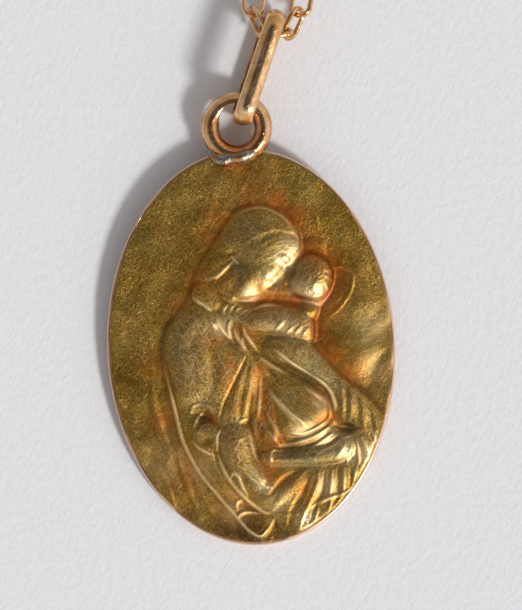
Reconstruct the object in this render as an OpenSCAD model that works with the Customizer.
// Medal necklace: an oval medal with a raised mother and child, its ring and bail, and a cable chain

/* [Medal] */
// Width of the oval disc
medal_w = 19; // [16:0.1:24]
// Height of the oval disc
medal_h = 26.22; // [22:0.1:32]
// Thickness of the disc at its rim
rim_t = 0.5; // [0.4:0.05:1]
// How far the field swells above the rim at its middle
dome = 0.15; // [0:0.05:0.4]
// How far the highest relief stands above the field
relief_h = 0.95; // [0.4:0.05:1.2]
// Cells of the relief across the disc
cells_across = 46; // [24:2:50]
// Cells of the relief up the disc
cells_up = 62; // [32:2:66]

/* [Ring] */
// Outer diameter of the ring soldered to the disc
ring_d = 4.7; // [4:0.1:6]
// Diameter of the ring's wire
ring_wire = 1.2; // [0.9:0.05:1.4]
// Radius of the groove that the bail has worn in the ring
wear_r = 1.14; // [0.9:0.01:1.15]
// How far the worn groove lies above the ring's centre
wear_up = 0.5; // [0.3:0.05:0.6]

/* [Bail] */
// Length of the bail
bail_len = 8; // [7:0.05:10]
// Height of the bail on its edge
bail_h = 4.2; // [4:0.05:5]
// Width of the bail's band
bail_w = 1.28; // [1:0.02:1.6]
// Thickness of the bail's band
bail_t = 0.75; // [0.6:0.05:0.9]
// Outer radius of the bail's corners
bail_corner = 1.4; // [1.2:0.05:1.8]
// How far the bail points to the right of the page's upright
bail_turn = 18.4; // [0:0.1:20]
// How far the bail leans off its edge
bail_lean = 4; // [0:0.5:5]

/* [Chain] */
// Outer length of a link
link_len = 2.45; // [2.3:0.01:2.5]
// Outer width of a link
link_w = 1.62; // [1.5:0.01:1.7]
// Diameter of a link's wire
wire = 0.34; // [0.3:0.01:0.36]
// Distance from one link to the next
pitch = 1.63; // [1.6:0.01:1.65]
// Links in each strand, past the three at the bail
strand_links = 118; // [60:2:118]
// How far a strand leans outwards as it leaves the bail
lean = 35; // [20:1:45]
// Length of the straight start of a strand
start_len = 5; // [2:1:10]
// Radius of the outward bend of a strand
flare_r = 50; // [20:1:60]

/* [Clasp] */
// Length of the barrel of the clasp
barrel_len = 6; // [5:0.5:8]
// Diameter of the barrel of the clasp
barrel_d = 1.8; // [1.6:0.1:2.2]
// Diameter of the wire of the clasp's eyes
eye_wire = 0.4; // [0.35:0.05:0.5]
// Inner diameter of the clasp's eyes
eye_hole = 0.95; // [0.9:0.05:1.2]

/* [Hidden] */
$fn = 48;
gold = "#c9a24a";
rose_gold = "#d3a06c";

// The medal's own frame has its origin at the disc's centre, on the flat back, with +Y towards the ring
medal_turn = 3.03;
ring_x = -0.18;
ring_y = 14.52;
ring_r = (ring_d - ring_wire) / 2;
half_w = medal_w / 2;
half_h = medal_h / 2;
// The disc lies on its lower edge, and the ring on the bail's back limb
rest_gap = 0.05;
bail_rest = 0.02;
seat_z = bail_rest + bail_t + bail_w / 2 * sin(bail_lean) + rest_gap;
ring_lift = seat_z + ring_wire / 2 - rim_t / 2;
medal_tilt = asin(ring_lift / (ring_y + ring_r + half_h));

// The bail stands on one long side of its loop, and its middle is placed from the disc's middle
bail_x = 0.465;
bail_y = 18.44;
crown_r = 0.85;

// The two strands rise side by side from here, on either side of a middle line
strand_mid = 1.815;
strand_half = 1.57;
strand_y = 22.92;

// From the clasp's middle to the middle of the last link
eye_seat = 0.6;
link_gap = link_len - 2 * wire - pitch;
eye_reach = link_len / 2 - wire + eye_hole / 2 - link_gap;
clasp_half = barrel_len / 2 + eye_seat + eye_reach;

// Seen from above, a strand runs straight, bends outwards, leans, and bends over the top to the clasp
strand_len = (strand_links - 1) * pitch;
flare_len = flare_r * lean * PI / 180;
over_turn = 90 + lean;
over_share = cos(lean) / (over_turn * PI / 180);
rest_len = strand_len - start_len - flare_len;
lean_len = (clasp_half - strand_half - flare_r * (1 - cos(lean)) + rest_len * over_share)
  / (sin(lean) + over_share);
over_len = rest_len - lean_len;
over_r = over_len / (over_turn * PI / 180);
bend_end = [strand_half + flare_r * (1 - cos(lean)), start_len + flare_r * sin(lean)];
lean_end = bend_end + lean_len * [sin(lean), cos(lean)];
function heading(s) =
  let (flare = s - start_len, leant = flare - flare_len, over = leant - lean_len)
  flare < 0 ? 90
    : leant < 0 ? 90 - lean * flare / flare_len
    : over < 0 ? 90 - lean
    : 90 - lean + over_turn * over / over_len;
function path(s) =
  let (flare = s - start_len, leant = flare - flare_len, over = leant - lean_len, h = heading(s))
  flare < 0 ? [strand_half, s]
    : leant < 0 ? [strand_half + flare_r * (1 - sin(h)), start_len + flare_r * cos(h)]
    : over < 0 ? bend_end + leant * [sin(lean), cos(lean)]
    : lean_end + over_r * [sin(h) - cos(lean), sin(lean) - cos(h)];

// Past the bail, the links lie over to one side and the other in turn, and the last few climb to the clasp
rest_roll = 45;
rest_z = 0.65;
climb_links = 3;
climb = 0.16;
function link_roll(i) = i % 2 == 1 ? rest_roll : -rest_roll;
function climbed(i) = max(0, i + 1 + climb_links - strand_links) / climb_links;
function link_z(i) = rest_z + climb * pow(climbed(i), 2);

// Links that climb over the bail's back limb, placed one by one from the disc's middle
ACROSS = 0;
UP = 1;
ABOVE = 2;
YAW = 3;
PITCH = 4;
ROLL = 5;
left_links = [
  [1.6, 20.75, 2.0, 5, 10, 110],
  [0.45, 21.4, 1.6, 115, 10, -65],
  [0.2, 22.9, 1.4, 80, 15, 10],
  [0.25, 24.5, 1.05, 90, 10, -60],
  [0.25, 26.15, 0.8, 90, 10, 40]
];
right_links = [
  [2.8, 21.35, 1.45, 65, 0, 55],
  [3.35, 22.9, 1.35, 80, 10, -20],
  [3.4, 24.55, 1.05, 90, 10, 55],
  [3.35, 26.15, 0.75, 90, 5, -45]
];
// The strand's links from this one on lie along its path
first_laid = 3;

// The origin is under the middle of the whole necklace, which reaches from the disc's foot to the clasp
foot_y = -norm([half_h * cos(medal_turn), half_w * sin(medal_turn)]);
top_y = strand_y + path(strand_len)[1] + barrel_d / 2;
module on_page() {
  translate([-strand_mid, -(foot_y + top_y) / 2, 0]) children();
}

// Columns of both tables: ends and radii of a tapered form, then its height as a share of relief_h
X1 = 0;
Y1 = 1;
R1 = 2;
X2 = 3;
Y2 = 4;
R2 = 5;
RISE = 6;
forms = [
  // mantle, low behind the whole group
  [-3.9, 0.6, 1.9, -3.6, -4.4, 1.9, 0.42],
  [-3.3, -5.5, 1.7, -0.6, -10.4, 1.9, 0.28],
  [0.4, -10.3, 2.0, 5.0, -9.2, 3.0, 0.28],
  [1.5, -3.2, 3.4, 3.6, -6.6, 3.3, 0.42],
  // veil over the head, falling to the shoulder
  [1.2, 6.9, 2.45, 0.6, 6.9, 2.5, 0.72],
  [0.2, 6.2, 2.2, -2.7, 4.3, 1.3, 0.5],
  // face and neck
  [2.2, 6.4, 1.3, 1.3, 5.0, 1.0, 0.95],
  [0.6, 4.8, 1.2, -0.6, 4.2, 1.1, 0.62],
  // child's head
  [4.15, 4.5, 1.5, 3.7, 4.3, 1.35, 1.0],
  // child's shoulder, sleeve and hand round the neck
  [3.1, 1.9, 1.15, 0.6, 1.75, 1.05, 0.85],
  [0.6, 1.75, 1.05, -2.3, 2.5, 0.7, 0.72],
  [-2.3, 2.5, 0.6, -3.5, 3.2, 0.42, 0.62],
  // mother's shoulder and upper sleeve
  [-4.0, 1.0, 1.5, -3.4, -2.6, 1.5, 0.8],
  // child's back and the mantle over it
  [3.2, 0.4, 1.1, 5.9, -3.3, 1.3, 0.78],
  [5.9, -3.3, 1.3, 7.0, -6.3, 1.0, 0.6],
  // skirt of the child between the arms
  [0.2, -0.6, 0.9, 1.2, -4.6, 1.9, 0.62],
  [2.2, -2.6, 1.2, 3.2, -4.8, 1.5, 0.66],
  // mother's near hand and the cuff above it
  [-3.2, -5.3, 0.9, -2.2, -6.2, 1.1, 0.62],
  [-1.4, -5.8, 1.2, -0.5, -8.3, 1.1, 0.9],
  // mother's far forearm and hand
  [0.9, -7.5, 0.6, 5.2, -7.3, 0.75, 0.82],
  [5.2, -7.3, 0.75, 6.6, -6.3, 0.8, 0.85]
];
folds = [
  // hem of the veil and the hair under it
  [-0.2, 9.0, 0.3, 2.6, 8.55, 0.3, 0.08],
  [2.6, 8.55, 0.3, 3.5, 7.3, 0.3, 0.1],
  [-0.8, 6.1, 0.3, 1.2, 7.1, 0.35, 0.1],
  [-2.4, 4.8, 0.35, -0.8, 6.0, 0.35, 0.12],
  // edge of the mantle down to its point
  [-5.5, -1.6, 0.25, -5.0, -5.4, 0.25, 0.1],
  [-5.0, -5.4, 0.25, -3.5, -8.6, 0.25, 0.1],
  [-3.5, -8.6, 0.25, -0.2, -12.3, 0.25, 0.1],
  [-0.2, -12.3, 0.25, 1.3, -10.6, 0.25, 0.08],
  // edge of the sleeve round the near hand
  [-2.6, -5.4, 0.25, -2.4, -7.4, 0.25, 0.12],
  [-2.4, -7.4, 0.25, -0.7, -10.1, 0.25, 0.12],
  [-0.7, -10.1, 0.25, 0.8, -10.7, 0.25, 0.1],
  // pleats that fall from the child's arm
  [-2.4, 1.9, 0.25, -1.5, 0.9, 0.25, 0.12],
  [-1.4, 1.7, 0.25, -0.6, 0.1, 0.25, 0.12],
  [-0.3, -0.4, 0.3, -1.6, -4.6, 0.4, 0.16],
  [0.2, -0.8, 0.3, -0.6, -4.7, 0.45, 0.16],
  [0.6, -1.2, 0.3, 0.9, -5.2, 0.45, 0.1],
  [0.8, -2.4, 0.25, 3.3, -5.4, 0.3, 0.12],
  [0.4, -0.3, 0.3, 4.4, -2.9, 0.4, 0.14],
  [1.3, 0.0, 0.25, 3.9, -1.8, 0.35, 0.1],
  [4.4, -2.9, 0.4, 5.0, -4.7, 0.4, 0.14],
  // folds gathered to the far hand
  [3.4, -5.7, 0.35, 4.9, -5.4, 0.3, 0.16],
  [3.8, -6.7, 0.3, 5.4, -6.0, 0.3, 0.16],
  [6.3, -2.6, 0.3, 6.3, -5.0, 0.3, 0.12],
  // pleats of the skirt
  [2.2, -8.2, 0.35, 1.0, -10.4, 0.4, 0.14],
  [3.9, -8.3, 0.35, 2.4, -11.8, 0.45, 0.18],
  [4.9, -8.2, 0.35, 3.8, -11.4, 0.4, 0.14],
  [5.9, -8.1, 0.35, 4.9, -10.6, 0.4, 0.14],
  [6.7, -7.7, 0.35, 6.2, -9.3, 0.35, 0.12],
  [2.9, -11.0, 0.25, 6.8, -8.9, 0.25, 0.1],
  // halo arcs
  [4.6, 8.9, 0.22, 4.8, 7.4, 0.22, 0.05],
  [5.6, 4.95, 0.22, 6.5, 4.9, 0.22, 0.07],
  [6.5, 4.9, 0.22, 6.85, 3.9, 0.22, 0.08],
  [6.85, 3.9, 0.22, 6.3, 2.7, 0.22, 0.08],
  [6.3, 2.7, 0.22, 5.1, 1.8, 0.22, 0.08]
];

// A form is round-shouldered and a fold is a soft ridge
swell_power = 0.8;
ridge_power = 2;

function mix(a, b, t) = a + (b - a) * t;
function clamp(t) = max(0, min(1, t));

// How far a point lies across a form: 0 on its spine and 1 at its edge
function across(f, x, y) =
  let (
    dx = f[X2] - f[X1],
    dy = f[Y2] - f[Y1],
    t = clamp(((x - f[X1]) * dx + (y - f[Y1]) * dy) / (dx * dx + dy * dy))
  )
  norm([x - f[X1] - t * dx, y - f[Y1] - t * dy]) / mix(f[R1], f[R2], t);
function swell(f, x, y) = let (u = across(f, x, y)) u >= 1 ? 0 : f[RISE] * pow(1 - u * u, swell_power);
function ridge(f, x, y) = let (u = across(f, x, y)) u >= 1 ? 0 : f[RISE] * pow(1 - u * u, ridge_power);
function raised(x, y) =
  max([for (f = forms) swell(f, x, y)])
  + [for (f = folds) ridge(f, x, y)] * [for (f = folds) 1];
// The field is a panel just inside the rim, and the relief runs out at its edge
field_share = 0.965;
field_w = half_w * field_share;
field_h = half_h * field_share;
field_step = 0.012;
field_root = 0.2;
rim_fade = 12;
function field_z(x, y) =
  let (inside = max(0, 1 - pow(x / field_w, 2) - pow(y / field_h, 2)))
  rim_t + field_step + dome * inside + relief_h * raised(x, y) * min(1, inside * rim_fade);

// Degrees from one corner of the disc's outline to the next, which keeps its back one flat face
plate_step = 2.5;

// A square grid pressed into the oval, so that its edge follows the rim
function oval(u, v) = [field_w * u * sqrt(1 - v * v / 2), field_h * v * sqrt(1 - u * u / 2)];
function at(i, j) = i * (cells_up + 1) + j;
grid = [
  for (i = [0:cells_across], j = [0:cells_up])
    oval(2 * i / cells_across - 1, 2 * j / cells_up - 1)
];
rim = concat(
  [for (i = [0:cells_across - 1]) at(i, 0)],
  [for (j = [0:cells_up - 1]) at(cells_across, j)],
  [for (i = [cells_across:-1:1]) at(i, cells_up)],
  [for (j = [cells_up:-1:1]) at(0, j)]
);

module plate() {
  linear_extrude(rim_t) polygon([for (a = [0:plate_step:359]) [half_w * cos(a), half_h * sin(a)]]);
}

module field() {
  tops = [for (p = grid) [p[0], p[1], field_z(p[0], p[1])]];
  backs = [for (k = rim) [grid[k][0], grid[k][1], field_root]];
  n = len(rim);
  b = len(grid);
  face_cells = [
    for (i = [0:cells_across - 1], j = [0:cells_up - 1])
      each [[at(i, j), at(i, j + 1), at(i + 1, j + 1)], [at(i, j), at(i + 1, j + 1), at(i + 1, j)]]
  ];
  wall = [
    for (k = [0:n - 1])
      let (m = (k + 1) % n)
        each [[rim[k], rim[m], b + m], [rim[k], b + m, b + k]]
  ];
  polyhedron(concat(tops, backs), concat(face_cells, wall, [[for (k = [0:n - 1]) b + k]]));
}

module ring() {
  translate([ring_x, ring_y, rim_t / 2])
    difference() {
      rotate_extrude() translate([ring_r, 0]) circle(d = ring_wire);
      translate([0, wear_up, -ring_wire]) cylinder(r = wear_r, h = 2 * ring_wire);
    }
}

// Balls sunk in the seam, each with its place and its radius
PLACE = 0;
RADIUS = 1;
lumps = [
  [[-1.5, 12.5, 0.42], 0.5],
  [[-0.85, 12.3, 0.4], 0.52],
  [[-0.1, 12.45, 0.4], 0.5],
  [[0.6, 12.75, 0.42], 0.45]
];
module solder() {
  for (p = lumps) translate(p[PLACE]) sphere(r = p[RADIUS]);
}

module medal() {
  color(gold)
    on_page()
      rotate([0, 0, medal_turn])
        translate([0, 0, half_h * sin(medal_tilt)])
          rotate([medal_tilt, 0, 0]) {
            plate();
            field();
            ring();
            solder();
          }
}

// Section of the band, with its flat inner face on the Y axis and its crown outwards
module band() {
  intersection() {
    translate([0, -bail_w / 2]) square([bail_t, bail_w]);
    translate([bail_t - crown_r, 0]) circle(r = crown_r);
  }
}

// One side of the loop and the corner after it, in a plane, with the middle of the loop at the origin
module bail_side(across_half, along_half) {
  corner_in = bail_corner - bail_t;
  translate([across_half - bail_corner, along_half - bail_corner])
    rotate_extrude(angle = 90) translate([corner_in, 0]) band();
  translate([across_half - bail_t, along_half - bail_corner])
    rotate([90, 0, 0]) linear_extrude(2 * (along_half - bail_corner)) band();
}

module bail() {
  color(rose_gold)
    on_page()
      translate([bail_x, bail_y, bail_h / 2 + bail_rest])
        rotate([0, bail_lean, -bail_turn])
          rotate([0, -90, 0])
            for (half_turn = [0, 180]) {
              rotate([0, 0, half_turn]) bail_side(bail_h / 2, bail_len / 2);
              rotate([0, 0, half_turn + 90]) bail_side(bail_len / 2, bail_h / 2);
            }
}

// A link lies flat and lengthways along X, with its middle at the origin
module link() {
  end_r = (link_w - wire) / 2;
  side_half = (link_len - link_w) / 2;
  for (side = [1, -1]) {
    translate([side * side_half, 0, 0])
      rotate([0, 0, side * 90 - 180])
        rotate_extrude(angle = 180) translate([end_r, 0]) circle(d = wire);
    translate([-side_half, side * end_r, 0])
      rotate([0, 90, 0]) cylinder(d = wire, h = 2 * side_half);
  }
}

module placed_links(rows) {
  for (n = rows)
    translate([n[ACROSS], n[UP], n[ABOVE]]) rotate([n[ROLL], n[PITCH], n[YAW]]) link();
}

// The right strand, from the first link that lies on the page round to the clasp
module strand() {
  for (i = [first_laid:strand_links - 1]) {
    s = i * pitch;
    p = path(s);
    translate([p[0], strand_y + p[1], link_z(i)])
      rotate([link_roll(i), 0, heading(s)]) link();
  }
}

module chain_left() {
  color(rose_gold)
    on_page() {
      placed_links(left_links);
      translate([strand_mid, 0, 0]) mirror([1, 0, 0]) strand();
    }
}

module chain_right() {
  color(rose_gold)
    on_page() {
      placed_links(right_links);
      translate([strand_mid, 0, 0]) strand();
    }
}

module clasp() {
  taper = 0.5;
  color(rose_gold)
    on_page()
      translate([strand_mid, strand_y + path(strand_len)[1], barrel_d / 2 + rest_gap / 2]) {
        rotate([0, 90, 0])
          rotate_extrude()
            polygon([
              [0, -barrel_len / 2],
              [barrel_d / 2 - taper / 2, -barrel_len / 2],
              [barrel_d / 2, taper - barrel_len / 2],
              [barrel_d / 2, barrel_len / 2 - taper],
              [barrel_d / 2 - taper / 2, barrel_len / 2],
              [0, barrel_len / 2]
            ]);
        for (side = [1, -1])
          translate([side * (barrel_len / 2 + eye_seat), 0, 0])
            rotate([45, 0, 0])
              rotate_extrude() translate([(eye_hole + eye_wire) / 2, 0]) circle(d = eye_wire);
      }
}

medal();
bail();
chain_left();
chain_right();
clasp();
